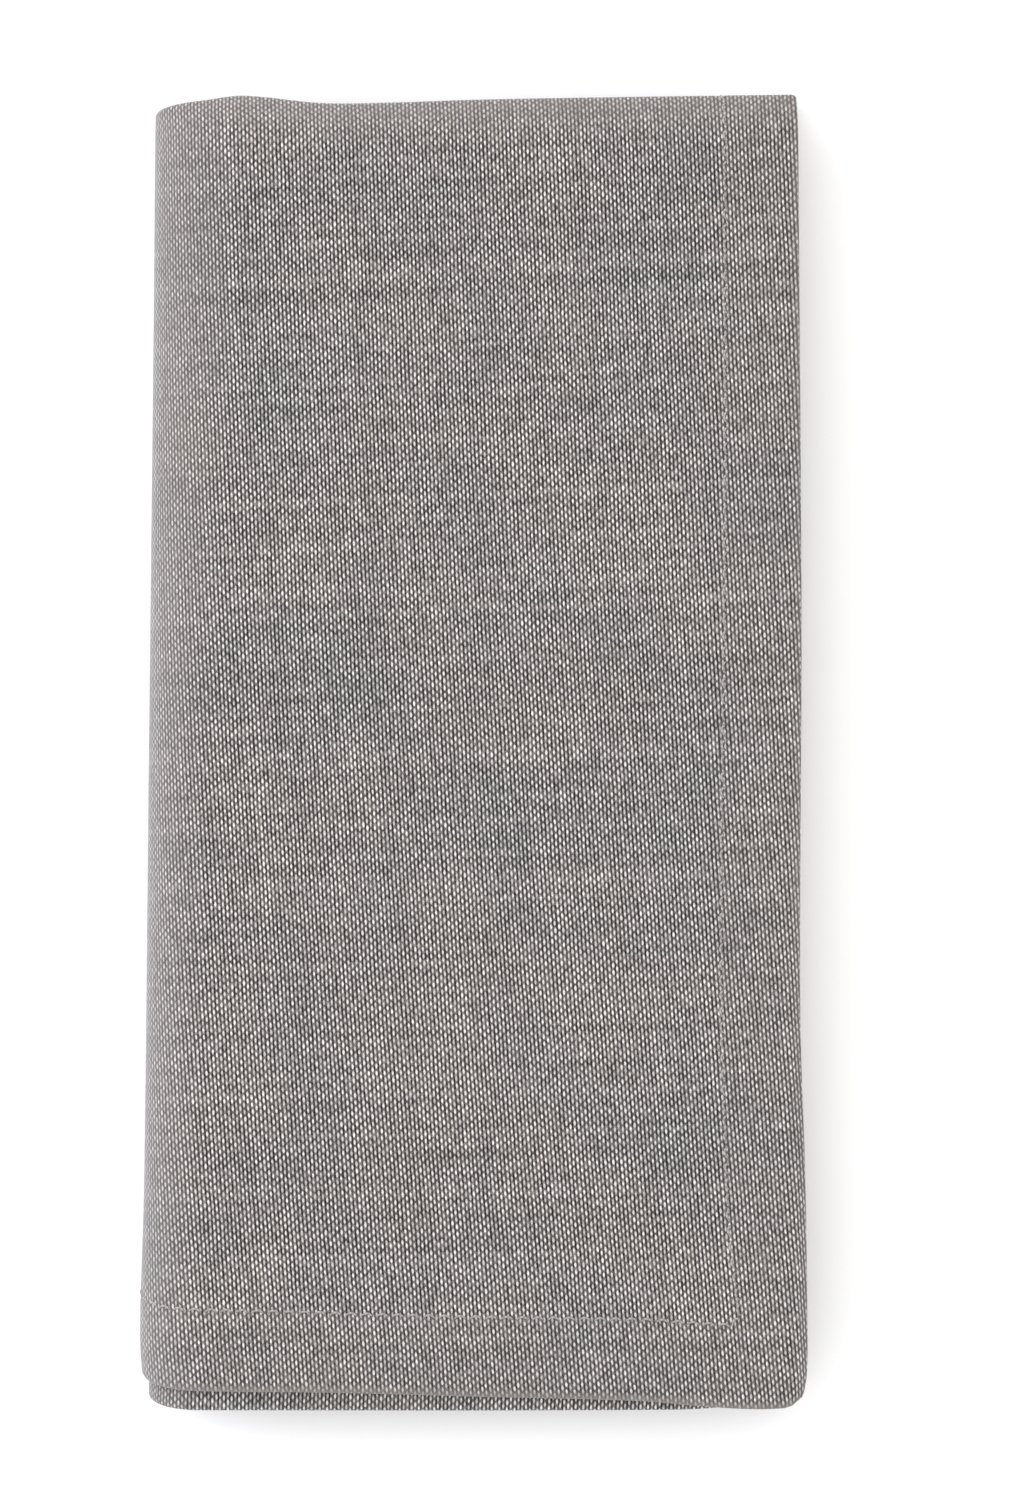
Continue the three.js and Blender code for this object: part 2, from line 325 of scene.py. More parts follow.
def along_places():
    """From the outer hem to the inner one."""
    places = []
    for run in range(INNERMOST_LEVEL + 1):
        start, finish = run, run + 1
        steps = INNER_RUN_STEPS if run else OUTER_RUN_STEPS
        places += [Along(run, start, distance) for distance in rows_at(start)]
        places += [Along(run, share=step / steps) for step in range(1, steps)]
        places += [Along(run, finish, distance) for distance in reversed(rows_at(finish))]
        if ENDS[finish].loop:
            turns = [math.pi * step / LOOP_STEPS for step in range(1, LOOP_STEPS)]
            places += [Along(run, finish, 0, turn) for turn in turns]
    return places


def rows_at(end):
    """Distances of the rows from a hem or a loop."""
    return FOLD_ROWS if ENDS[end].loop else RIM_ROWS + HEM_ROWS


def upper_pitch(x):
    """Height of one layer above the middle of the pack: least at the open edges, most at the roll."""
    open_x = RIGHT_EDGE[0][1]
    return mix(PACK_PITCH, CREST_PITCH, clamp((open_x - x) / (open_x - CREST_X), 0, 1))


def roll_at(y, level, above):
    """Where the roll of one level turns over, and how far it reaches in from there."""
    depth = level / INNERMOST_LEVEL
    left = read_table(LEFT_EDGE, y) + SHEET_THICKNESS / 2 + ROLL_PITCH * level
    outer = read_table(ROLL_REACH, y) if above else OUTER_UNDER_REACH
    return left, mix(outer, INNERMOST_REACH, depth)


def open_edge_at(y, level, above):
    """Where the open long edge of one level lies, from left to right."""
    side = 0 if above else 1
    inner = clamp(math.ceil(level), 1, INNERMOST_LEVEL)
    inset = mix(OPEN_EDGES[inner - 1][side], OPEN_EDGES[inner][side], level - inner + 1)
    return read_table(RIGHT_EDGE, y) - inset


def across_x(across, y, level):
    """Where a place across the cloth lies, from left to right."""
    left, reach = roll_at(y, level, across.above)
    if across.angle is not None:
        return left + reach * (1 - math.cos(across.angle))
    edge = open_edge_at(y, level, across.above)
    if across.distance is not None:
        return edge - across.distance
    return mix(edge - HEM_ROWS[-1], left + reach, across.share)


def across_height(across, x, y, level, sinking):
    """How high a place across the cloth lies."""
    layers = LEVELS_TO_MIDDLE - level - sinking
    if across.angle is None:
        return MIDDLE_HEIGHT + (layers * upper_pitch(x) if across.above else -layers * PACK_PITCH)
    left, reach = roll_at(y, level, across.above)
    rise = layers * (upper_pitch(left + reach) if across.above else PACK_PITCH)
    return MIDDLE_HEIGHT + rise * math.sin(across.angle)


def sag_share(across):
    """How much of an end's sag a place across the cloth takes: all of it above, none below."""
    if across.angle is None:
        return 1 if across.above else 0
    return ((1 + math.sin(across.angle)) / 2) ** 2


def end_place(end, across, level):
    """How far back or forward the hem or the middle of the loop at an end of a run lies."""
    x = across_x(across, end.outline[-1][1], level)
    inset = end.set_back + end.below * (1 - sag_share(across)) + end.loop + SHEET_THICKNESS / 2
    return read_table(end.outline, x) - end.towards * inset


def near_end(along, across):
    """Where the cloth lies near an end of a run: its place from front to back, its level, and how many
    levels it has sunk below that."""
    end = ENDS[along.end]
    run_before = along.end - 1
    near = max(0, 1 - along.distance / end.sag_span)
    sag = end.sag * sag_share(across)
    tilt = math.atan(2 * sag * near * MEAN_PITCH / end.sag_span)
    half_gap = mix(MEAN_PITCH / 2, end.loop, near * near) if end.loop else 0
    line = run_before + half_gap / MEAN_PITCH if end.loop else along.run
    turn = along.turn
    if turn is None:
        turn = 0 if along.run == run_before else math.pi
    outwards = end.loop * math.sin(turn)
    inwards = -half_gap * math.cos(turn)
    past = outwards * math.cos(tilt) - inwards * math.sin(tilt)
    sunk = outwards * math.sin(tilt) + inwards * math.cos(tilt)
    y = end_place(end, across, line) + end.towards * (past - along.distance)
    return y, line + sunk / MEAN_PITCH, sag * near * near


def cloth_point(across, along):
    """A point on the middle surface of the folded cloth."""
    if along.end is None:
        run_ends = ENDS[along.run], ENDS[along.run + 1]
        front, back = (end_place(end, across, along.run) for end in run_ends)
        inset = [rows_at(along.run + place)[-1] * end.towards for place, end in enumerate(run_ends)]
        y, level, sinking = mix(front - inset[0], back - inset[1], along.share), along.run, 0
    else:
        y, level, sinking = near_end(along, across)
    x = across_x(across, y, level)
    return x, y, across_height(across, x, y, level, sinking)


def relief(across, along):
    """How far the topmost layer rises or sinks by itself, as cloth at rest never lies quite flat."""
    return sum(
        swell.height * noise.noise(Vector((across / swell.across, along / swell.along, swell.slice)))
        for swell in SWELLS
    )


class FoldedSheet:
    """The folded cloth as a grid of points, which takes a place on the flat cloth to where it now is."""

    def __init__(self):
        self.across = across_places()
        self.along = along_places()
        middle = np.array([[cloth_point(a, b) for b in self.along] for a in self.across])
        self.normals = self.wrong_normals(middle)
        self.width_at = self.distances(middle[:, OUTER_RUN_STEPS // 2])
        self.length_at = self.distances(middle[len(self.across) // 3, :])
        self.edge_across = self.edge_distances(self.across)
        self.edge_along = np.array([self.hem_distance(place) for place in self.along])
        self.middle = middle + self.normals * self.own_relief()[..., None]
        self.normals = self.wrong_normals(self.middle)
        self.right, self.wrong = self.face_offsets()

    @staticmethod
    def wrong_normals(points):
        """Directions square to the cloth, out of its wrong side."""
        over_width = np.gradient(points, axis=0)
        over_length = np.gradient(points, axis=1)
        square = np.cross(over_width, over_length)
        return square / np.linalg.norm(square, axis=2, keepdims=True)

    @staticmethod
    def distances(points):
        """Distance of each point from the first one, along the line of points."""
        steps = np.linalg.norm(np.diff(points, axis=0), axis=1)
        return np.concatenate([[0], np.cumsum(steps)])

    def grain_distances(self, points):
        """Each point's place as measured along one face of the cloth, to the right and to the back, from
        the middle of the topmost layer. The threads of all layers lie straight, so each half of the pack
        and each fold is measured from its own middle. The roll and the flats between take up the rest."""
        steps_across = np.linalg.norm(np.diff(points, axis=0), axis=2)
        steps_along = np.linalg.norm(np.diff(points, axis=1), axis=2)
        over = np.vstack([np.zeros(len(self.along)), np.cumsum(steps_across, axis=0)])
        along = np.hstack([np.zeros((len(self.across), 1)), np.cumsum(steps_along, axis=1)])
        edge_rows = len(RIM_ROWS + HEM_ROWS)
        upper, lower = edge_rows + UPPER_STEPS // 2, len(self.across) - edge_rows - LOWER_STEPS // 2
        middle = edge_rows + OUTER_RUN_STEPS // 2
        right = points[upper, :, 0] + over[upper] - over
        lower_right = right[lower, middle] + points[lower, middle, 0] - points[lower, :, 0]
        lower_right = lower_right + over[lower] - over
        right = mix(right, lower_right, np.array([self.turned(place) for place in self.across])[:, None])
        back = (points[:, middle, 1] - along[:, middle])[:, None] + along
        tops = [j for j, place in enumerate(self.along) if place.turn == math.pi / 2]
        shifts = [np.zeros(len(self.across))] + [back[:, j].mean() - back[:, j] for j in tops[1:]]
        rows = np.arange(len(self.along))
        shift = [np.interp(rows, tops, column) for column in np.transpose(shifts)]
        return right, back + np.array(shift)

    @staticmethod
    def turned(place):
        """How far round the roll a place across the cloth lies, from 0 above to 1 below."""
        if place.angle is None:
            return 0 if place.above else 1
        return (1 - math.sin(place.angle)) / 2

    @staticmethod
    def edge_distances(places):
        """Distance of each place across the cloth from the nearest open edge."""
        return np.array([FLAT_WIDTH if place.distance is None else place.distance for place in places])

    @staticmethod
    def hem_distance(place):
        """Distance of a place along the cloth from the nearest end hem's edge."""
        hemmed = place.end is not None and not ENDS[place.end].loop
        return place.distance if hemmed else FLAT_LENGTH

    def own_relief(self):
        """The topmost layer's own unevenness, which fades out on the roll and at the fold."""
        rise = np.zeros((len(self.across), len(self.along)))
        for i, across in enumerate(self.across):
            if not across.above:
                continue
            outwards = 1 if across.angle is None else math.sin(across.angle)
            for j, along in enumerate(self.along):
                if along.run or along.turn is not None:
                    continue
                from_fold = FLAT_WIDTH
                if along.end == BACK_END:
                    from_fold = along.distance
                share = outwards * smooth_step(0, FOLD_ROWS[-1], from_fold)
                rise[i, j] = -share * relief(self.width_at[i], self.length_at[j])
        return rise

    def face_offsets(self):
        """How far the right and the wrong face lie from the middle surface."""
        shape = len(self.across), len(self.along)
        right, wrong = np.zeros(shape), np.zeros(shape)
        for i, across in enumerate(self.across):
            for j, along in enumerate(self.along):
                edge = min(self.edge_across[i], self.edge_along[j])
                hemmed = 1 - smooth_step(HEM_DEPTH - HEM_STEP / 2, HEM_DEPTH + HEM_STEP / 2, edge)
                thickness = mix(SHEET_THICKNESS, HEM_THICKNESS, hemmed)
                outermost = 1 - smooth_step(0, math.pi, along.turn or 0) if along.run == 0 else 0
                lift = (thickness - SHEET_THICKNESS) * outermost / 2
                flat = clamp(edge / (thickness / 2), 0, 1)
                half = thickness / 2 * math.sqrt(1 - (1 - flat) ** 2)
                groove = self.groove(i, j)
                right[i, j] = max(half - lift - groove, -lift)
                wrong[i, j] = max(half + lift - groove, lift)
        return right, wrong

    def groove(self, i, j):
        """How far the seams draw the faces in."""
        from_side = self.edge_across[i] - read_table(SIDE_SEAM, self.length_at[j])
        from_end = self.edge_along[j] - read_table(END_SEAM, self.width_at[i])
        depth = math.exp(-((from_side / SEAM_GROOVE_WIDTH) ** 2))
        if from_side > -1:
            depth = max(depth, math.exp(-((from_end / SEAM_GROOVE_WIDTH) ** 2)))
        return SEAM_GROOVE * depth

    def nap_and_shade(self):
        """How much nap veils the threads along the folds, the rims and the seams, and how much painted shade
        darkens an end's rim and a seam's groove.
        """
        veil_and_shade = np.zeros((len(self.across), len(self.along)))
        for i, across in enumerate(self.across):
            on_roll = 0 if across.angle is None else math.cos(across.angle)
            for j, along in enumerate(self.along):
                near_fold = 0
                if along.end == BACK_END:
                    near_fold = FOLD_NAP * (1 - smooth_step(0, NAP_AT_FOLD, along.distance))
                edge = min(self.edge_across[i], self.edge_along[j])
                near_side = SIDE_RIM_NAP * (1 - smooth_step(0, NAP_AT_RIM, self.edge_across[i]))
                # At an end's rim and along a seam's groove the veil is partly painted shade.
                near_end = END_RIM_NAP_AND_SHADE * (1 - smooth_step(0, NAP_AT_RIM, self.edge_along[j]))
                sewn_nap_and_shade = SEAM_NAP_AND_SHADE * self.groove(i, j) / SEAM_GROOVE
                hemmed = HEM_NAP if edge < HEM_DEPTH else 0
                veil_and_shade[i, j] = max(on_roll, near_fold, near_side, near_end, sewn_nap_and_shade, hemmed)
        return veil_and_shade

    def faces(self):
        """The points of the right and of the wrong face."""
        right = self.middle - self.normals * self.right[..., None]
        wrong = self.middle + self.normals * self.wrong[..., None]
        return right, wrong

    def folded(self, across, along, height, wrong_side):
        """Points given as distances across and along the flat cloth and heights above one of its faces."""
        i = np.interp(across, self.width_at, np.arange(len(self.width_at)))
        j = np.interp(along, self.length_at, np.arange(len(self.length_at)))
        i_low = np.clip(np.floor(i).astype(int), 0, len(self.width_at) - 2)
        j_low = np.clip(np.floor(j).astype(int), 0, len(self.length_at) - 2)
        i_share, j_share = (i - i_low)[:, None], (j - j_low)[:, None]

        def between(grid):
            grid = grid.reshape(len(self.width_at), len(self.length_at), -1)
            near = mix(grid[i_low, j_low], grid[i_low + 1, j_low], i_share)
            far = mix(grid[i_low, j_low + 1], grid[i_low + 1, j_low + 1], i_share)
            return mix(near, far, j_share)

        side = 1 if wrong_side else -1
        face = between(self.wrong if wrong_side else self.right)
        return between(self.middle) + side * between(self.normals) * (face + height[:, None])


@functools.lru_cache(maxsize=1)
def folded_sheet():
    """The folded cloth, worked out once."""
    return FoldedSheet()


def grain_places(x, y):
    """Places along the cloth in its threads' own directions, which lean against its edges."""
    near_x = np.clip(x, -LEAN_REACH.x, LEAN_REACH.x)
    near_y = np.clip(y, -LEAN_REACH.y, LEAN_REACH.y)
    lean, lean_right, lean_back = (math.radians(angle) for angle in WARP_LEAN)
    rise, rise_right, rise_back = (math.radians(angle) for angle in WEFT_RISE)
    warp = x + lean * y + lean_right * near_x * near_y + lean_back * near_y * (y - near_y / 2)
    weft = y - rise * x - rise_right * near_x * (x - near_x / 2) - rise_back * near_x * near_y
    return np.stack([warp, weft], axis=-1) * MM


def deselect_all():
    """Nothing stays selected, so that the next operator acts on the new piece alone."""
    for piece in bpy.context.selected_objects:
        piece.select_set(False)


def select_only(piece):
    """One piece selected and active."""
    deselect_all()
    bpy.context.view_layer.objects.active = piece
    piece.select_set(True)


def finish_piece(piece, material):
    """A smooth piece of one material, which belongs to the runner's body."""
    piece.data.materials.append(material)
    select_only(piece)
    bpy.ops.object.shade_smooth()
    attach(piece, "root")


def new_piece(name, points, quads):
    """A mesh object at the origin from points in millimetres."""
    mesh = bpy.data.meshes.new(name)
    mesh.from_pydata([Vector(point) * MM for point in points], [], quads)
    mesh.validate()
    piece = bpy.data.objects.new(name, mesh)
    bpy.context.scene.collection.objects.link(piece)
    return piece


def lay_grain(piece, places):
    """The piece's own map, which gives each corner its place in the threads of the cloth."""
    layer = piece.data.uv_layers.new(name="grain")
    corners = np.empty(len(piece.data.loops), dtype=np.int32)
    piece.data.loops.foreach_get("vertex_index", corners)
    layer.data.foreach_set("uv", np.asarray(places, dtype=np.float32)[corners].ravel())


def fold_cloth():
    """The sheet's right and wrong faces, which meet along its round rim."""
    sheet = folded_sheet()
    rows, columns = sheet.right.shape
    right, wrong = sheet.faces()
    points = [point for side in (right, wrong) for point in side.reshape(-1, 3)]

    def corner(i, j, wrong_side):
        on_rim = i in (0, rows - 1) or j in (0, columns - 1)
        return i * columns + j + (rows * columns if wrong_side and not on_rim else 0)

    quads = []
    for i in range(rows - 1):
        for j in range(columns - 1):
            around = (i, j), (i + 1, j), (i + 1, j + 1), (i, j + 1)
            quads.append([corner(*place, True) for place in around])
            quads.append([corner(*place, False) for place in reversed(around)])
    used = sorted({place for quad in quads for place in quad})
    order = {place: index for index, place in enumerate(used)}
    quads = [[order[place] for place in quad] for quad in quads]
    cloth = new_piece("woven_cloth", [points[place] for place in used], quads)
    grain = [grain_places(*sheet.grain_distances(face)).reshape(-1, 2) for face in (right, wrong)]
    lay_grain(cloth, np.concatenate(grain)[used])
    # The nap, partly painted shade at the end rims and seams, is kept on each point.
    veil_and_shade = cloth.data.attributes.new("nap_and_shade", "FLOAT", "POINT")
    veil_and_shade.data.foreach_set("value", np.tile(sheet.nap_and_shade().ravel(), 2)[used].astype(np.float32))
    return cloth


def stitch_template(settings):
    """One stitch as rings of points: along the seam, aside from it and above the cloth, and its faces."""
    radius = settings.thread_thickness / MM / 2
    length = settings.stitch_length / MM
    deselect_all()
    bpy.ops.mesh.primitive_circle_add(vertices=STITCH_SIDES, radius=radius, fill_type="NGON")
    stitch = bpy.context.object
    bpy.ops.object.mode_set(mode="EDIT")
    bpy.ops.mesh.select_all(action="SELECT")
    for _ in range(STITCH_STEPS):
        step = {"value": (0, 0, length / STITCH_STEPS)}
        bpy.ops.mesh.extrude_region_move(TRANSFORM_OT_translate=step)
    bpy.ops.mesh.select_all(action="SELECT")
    bpy.ops.mesh.normals_make_consistent(inside=False)
    bpy.ops.object.mode_set(mode="OBJECT")
    rings = []
    for vertex in stitch.data.vertices:
        share = vertex.co.z / length * 2 - 1
        aside = vertex.co.x + settings.arch / MM * (1 - share * share)
        above = vertex.co.y + radius * STITCH_HEIGHT * (1 - share ** 4) - radius * STITCH_DIVE * share ** 4
        rings.append((vertex.co.z - length / 2, aside, above))
    quads = [list(face.vertices) for face in stitch.data.polygons]
    bpy.data.meshes.remove(stitch.data)
    return np.array(rings), quads


def needle_holes(pitch):
    """Where the needle went through the flat cloth, once round the four hems, as distances across and
    along. It turns each corner over one slanting stitch."""
    sheet = folded_sheet()
    width, length = sheet.width_at[-1], sheet.length_at[-1]
    from_side, from_end = (read_table(seam, 0) + CORNER_CUT for seam in (SIDE_SEAM, END_SEAM))
    across = np.linspace(from_side, width - from_side, round((width - 2 * from_side) / pitch) + 1)
    along = np.linspace(from_end, length - from_end, round((length - 2 * from_end) / pitch) + 1)
    outer_end = [(place, read_table(END_SEAM, place)) for place in across]
    lower_side = [(width - read_table(SIDE_SEAM, place), place) for place in along]
    inner_end = [(place, length - read_table(END_SEAM, place)) for place in reversed(across)]
    upper_side = [(read_table(SIDE_SEAM, place), place) for place in reversed(along)]
    return np.array(outer_end + lower_side + inner_end + upper_side)


def sew_hems(settings):
    """All the stitches of the hems, copied from one stitch and taken through the folds with the cloth."""
    rings, quads = stitch_template(settings)
    along_seam, aside, above = rings.T
    sheet = folded_sheet()
    holes = needle_holes(settings.stitch_pitch / MM)
    chords = np.roll(holes, -1, axis=0) - holes
    reach = np.linalg.norm(chords, axis=1, keepdims=True)
    ahead = chords / reach
    inwards = ahead[:, ::-1] * (-1, 1)
    run = along_seam * reach / (settings.stitch_pitch / MM)
    places = (holes + chords / 2)[:, None] + ahead[:, None] * run[..., None]
    places = places + inwards[:, None] * aside[:, None]
    across, along = places.reshape(-1, 2).T
    height = np.tile(above, len(holes))
    both = [sheet.folded(across, along, height, wrong_side) for wrong_side in (False, True)]
    points = np.concatenate(both)
    points[:, 2] = np.maximum(points[:, 2], 0)
    faces = []
    for copy in range(2 * len(holes)):
        first = copy * len(rings)
        faces += [[first + place for place in quad] for quad in quads]
    stitches = new_piece("hem_stitches", points, faces)
    mend_normals(stitches)
    lay_grain(stitches, np.tile(np.stack([along_seam * MM, above * MM], axis=1), (2 * len(holes), 1)))
    return stitches


def mend_normals(piece):
    """Faces that the folds turned inside out point outwards again."""
    select_only(piece)
    bpy.ops.object.mode_set(mode="EDIT")
    bpy.ops.mesh.select_all(action="SELECT")
    bpy.ops.mesh.normals_make_consistent(inside=False)
    bpy.ops.object.mode_set(mode="OBJECT")


class Recipe:
    """A material's nodes, with short ways to add and join them."""

    def __init__(self, name):
        self.material = bpy.data.materials.new(name)
        self.material.use_nodes = True
        self.tree = self.material.node_tree
        self.shader = self.tree.nodes["Principled BSDF"]

    def add(self, kind, **settings):
        """A node with its settings."""
        node = self.tree.nodes.new(kind)
        for name, value in settings.items():
            setattr(node, name, value)
        return node

    def feed(self, socket, value):
        """A socket gets another node's output or a plain value."""
        if isinstance(value, bpy.types.NodeSocket):
            self.tree.links.new(value, socket)
        else:
            socket.default_value = value

    def math(self, operation, *values):
        """The output of a Math node."""
        node = self.add("ShaderNodeMath", operation=operation)
        for socket, value in zip(node.inputs, values):
            self.feed(socket, value)
        return node.outputs[0]

    def vector(self, operation, first, second=None, scale=None):
        """The vector output of a Vector Math node."""
        node = self.add("ShaderNodeVectorMath", operation=operation)
        self.feed(node.inputs[0], first)
        if second is not None:
            self.feed(node.inputs[1], second)
        if scale is not None:
            self.feed(node.inputs["Scale"], scale)
        return node.outputs[0]

    def split(self, vector):
        """The first two parts of a vector."""
        node = self.add("ShaderNodeSeparateXYZ")
        self.feed(node.inputs[0], vector)
        return node.outputs[0], node.outputs[1]

    def product(self, first, *others):
        """Numbers multiplied."""
        for other in others:
            first = self.math("MULTIPLY", first, other)
        return first

    def noise(self, vector, size, detail=2.0):
        """A Noise node whose blobs are about size metres across."""
        node = self.add("ShaderNodeTexNoise", noise_dimensions="3D")
        self.feed(node.inputs["Vector"], vector)
        self.feed(node.inputs["Scale"], 1 / size)
        self.feed(node.inputs["Detail"], detail)
        return node

    def uneven(self, vector, kind):
        """An uneven tone."""
        blobs = self.noise(vector, kind.size, kind.detail).outputs["Fac"]
        return self.ramp(blobs, kind.start, kind.finish, kind.low, kind.high)

    def chance(self, *numbers):
        """A random number from 0 to 1 for one or two whole numbers."""
        node = self.add("ShaderNodeTexWhiteNoise", noise_dimensions="2D")
        pair = self.add("ShaderNodeCombineXYZ")
        for socket, value in zip(pair.inputs, numbers):
            self.feed(socket, value)
        self.feed(node.inputs["Vector"], pair.outputs[0])
        return node.outputs["Value"]

    def vary(self, chance, low, high):
        """An even change from low to high."""
        return self.math("MULTIPLY_ADD", chance, high - low, low)

    def ramp(self, value, start, finish, low=0.0, high=1.0):
        """A smooth change from low at start to high at finish."""
        node = self.add("ShaderNodeMapRange", interpolation_type="SMOOTHSTEP")
        for socket, number in zip(node.inputs, (value, start, finish, low, high)):
            self.feed(socket, number)
        return node.outputs[0]

    def blend(self, share, first, second, kind="MIX"):
        """Two colours mixed."""
        node = self.add("ShaderNodeMix", data_type="RGBA", blend_type=kind)
        self.feed(node.inputs["Factor"], share)
        self.feed(node.inputs["A"], first)
        self.feed(node.inputs["B"], second)
        return node.outputs["Result"]

    def oval(self, x, y, half_width, half_height):
        """How far a place is from the middle of an oval: 1 on its rim."""
        pair = self.add("ShaderNodeCombineXYZ")
        self.feed(pair.inputs[0], self.math("DIVIDE", x, half_width))
        self.feed(pair.inputs[1], self.math("DIVIDE", y, half_height))
        length = self.add("ShaderNodeVectorMath", operation="LENGTH")
        self.feed(length.inputs[0], pair.outputs[0])
        return length.outputs["Value"]

    def bump(self, height, strength, distance):
        """The surface's fine relief."""
        node = self.add("ShaderNodeBump")
        self.feed(node.inputs["Strength"], strength)
        self.feed(node.inputs["Distance"], distance)
        self.feed(node.inputs["Height"], height)
        return node.outputs[0]

    def finished(self, sockets):
        """The material, once its shader's sockets have got these values."""
        for name, value in sockets.items():
            self.feed(self.shader.inputs[name], value)
        return self.material


def opaque(colour):
    """A colour with full opacity."""
    return (*colour, 1.0)


# Where a place lies in the weave: the numbers of its warp thread, of its weft thread, of the repeat along
# the warp and of the gap between warp threads, how far it is from the middle of the warp's float across and
# along, and from the middle of the weft's float along.
Cell = namedtuple("Cell", "warp weft repeat gap across along between")


def weave_cell(recipe, grain, settings):
    """The cell of the weave at each place. Threads two apart float together, and their neighbours between."""
    place = grain
    for size, reach in BENDS:
        stray = recipe.vector("SUBTRACT", recipe.noise(grain, size).outputs["Color"], (0.5, 0.5, 0.5))
        place = recipe.vector("ADD", place, recipe.vector("SCALE", stray, scale=reach))
    x, y = recipe.split(place)
    column = recipe.math("DIVIDE", x, settings.warp_pitch)
    warp = recipe.math("FLOOR", column)
    stagger = recipe.math("MULTIPLY", recipe.math("FLOORED_MODULO", warp, 2.0), 0.5)
    row = recipe.math("ADD", recipe.math("DIVIDE", y, 2 * settings.weft_pitch), stagger)
    repeat = recipe.math("FLOOR", row)
    return Cell(
        warp=warp,
        weft=recipe.math("FLOOR", recipe.math("DIVIDE", y, settings.weft_pitch)),
        repeat=repeat,
        gap=recipe.math("FLOOR", recipe.math("ADD", column, 0.5)),
        across=recipe.math("SUBTRACT", recipe.math("SUBTRACT", column, warp), 0.5),
        along=recipe.math("SUBTRACT", recipe.math("SUBTRACT", row, repeat), 0.5),
        between=recipe.math("SUBTRACT", recipe.math("FRACT", recipe.math("ADD", row, 0.5)), 0.5),
    )


def weave_floats(recipe, cell):
    """How much of the warp and how much of the weft shows, from 0 to 1."""
    each = recipe.chance(cell.repeat, cell.warp)
    aside = recipe.math("ADD", cell.across, recipe.vary(each, *FLOAT_ASIDE))
    warp_rim = recipe.oval(aside, cell.along, *WARP_FLOAT)
    warp_rim = recipe.product(warp_rim, recipe.vary(each, *FLOAT_SHRINK))
    weft_rim = recipe.oval(cell.across, cell.between, *WEFT_FLOAT)
    return recipe.ramp(warp_rim, *WARP_SHOWS), recipe.ramp(weft_rim, *WEFT_SHOWS)


def weave_ground(recipe, grain, cell, weft_shows, each_weft, settings):
    """The colour of the weft's floats and the painted shade of the gaps beside them."""
    weft_colour = opaque(settings.weft_colour)
    gap_run = recipe.math("FLOOR", recipe.math("DIVIDE", cell.weft, GAP_RUN))
    shared = recipe.product(recipe.chance(cell.gap, gap_run), 0.5)
    each_gap = recipe.math("MULTIPLY_ADD", recipe.chance(cell.gap, cell.weft), 0.5, shared)
    filled = recipe.ramp(each_gap, *GAP_CHANCE, 0.0, GAP_FILL)
    # The gaps' dark colour is painted shade, filled by chance part of the way to the weft's colour.
    gap = recipe.blend(filled, opaque(settings.gap_shade_colour), weft_colour)
    ground = recipe.blend(weft_shows, gap, weft_colour)
    tone = recipe.product(recipe.vary(each_weft, *GROUND_TONE), recipe.uneven(grain, MARKS))
    return recipe.vector("SCALE", ground, scale=tone)


def woven_cotton(settings):
    """Plain weave: pale warp threads over a darker weft, each a little uneven, with painted shade in the gaps
    between them, under the nap, which is partly painted shade at an end's rim and in a seam's groove.
    """
    recipe = Recipe("woven_cotton")
    grain = recipe.add("ShaderNodeUVMap", uv_map="grain").outputs[0]
    nap_and_shade = recipe.add("ShaderNodeAttribute", attribute_name="nap_and_shade").outputs["Fac"]
    cell = weave_cell(recipe, grain, settings)
    warp_shows, weft_shows = weave_floats(recipe, cell)
    each_weft = recipe.chance(cell.weft, WEFT_SEED)
    ground = weave_ground(recipe, grain, cell, weft_shows, each_weft, settings)
    strength = recipe.product(
        recipe.vary(recipe.chance(cell.warp, cell.repeat), *FLOAT_TONE),
        recipe.vary(recipe.chance(cell.warp, WARP_SEED), *WARP_TONE),
        recipe.uneven(grain, SLUBS),
        recipe.uneven(grain, FIBRES),
    )
    covered = recipe.product(warp_shows, strength)
    colour = recipe.blend(covered, ground, opaque(settings.warp_colour))
    tint = recipe.blend(recipe.uneven(grain, PATCHES), *(opaque(tint) for tint in PATCH_TINTS))
    colour = recipe.blend(1.0, colour, tint, "MULTIPLY")
    streaks = recipe.uneven(recipe.vector("MULTIPLY", grain, STREAK_STRETCH), STREAKS)
    row_tone = recipe.product(recipe.vary(each_weft, *WEFT_TONE), streaks)
    colour = recipe.vector("SCALE", colour, scale=row_tone)
    # The nap veils the weave; at an end's rim and in a seam's groove it is partly painted shade.
    colour = recipe.blend(recipe.product(nap_and_shade, NAP_COVER), colour, opaque(settings.nap_and_shade_colour))
    height = recipe.math("ADD", warp_shows, recipe.product(weft_shows, WEFT_RELIEF))
    return recipe.finished({
        "Base Color": colour,
        "Normal": recipe.bump(height, recipe.vary(nap_and_shade, *BUMP_STRENGTH), settings.thread_relief),
        "Roughness": recipe.ramp(covered, 0.0, 1.0, *CLOTH_ROUGHNESS),
        "Specular IOR Level": 0.25,
        "Sheen Weight": settings.sheen,
        "Sheen Roughness": 0.5,
        "Sheen Tint": opaque(SHEEN_TINT),
    })


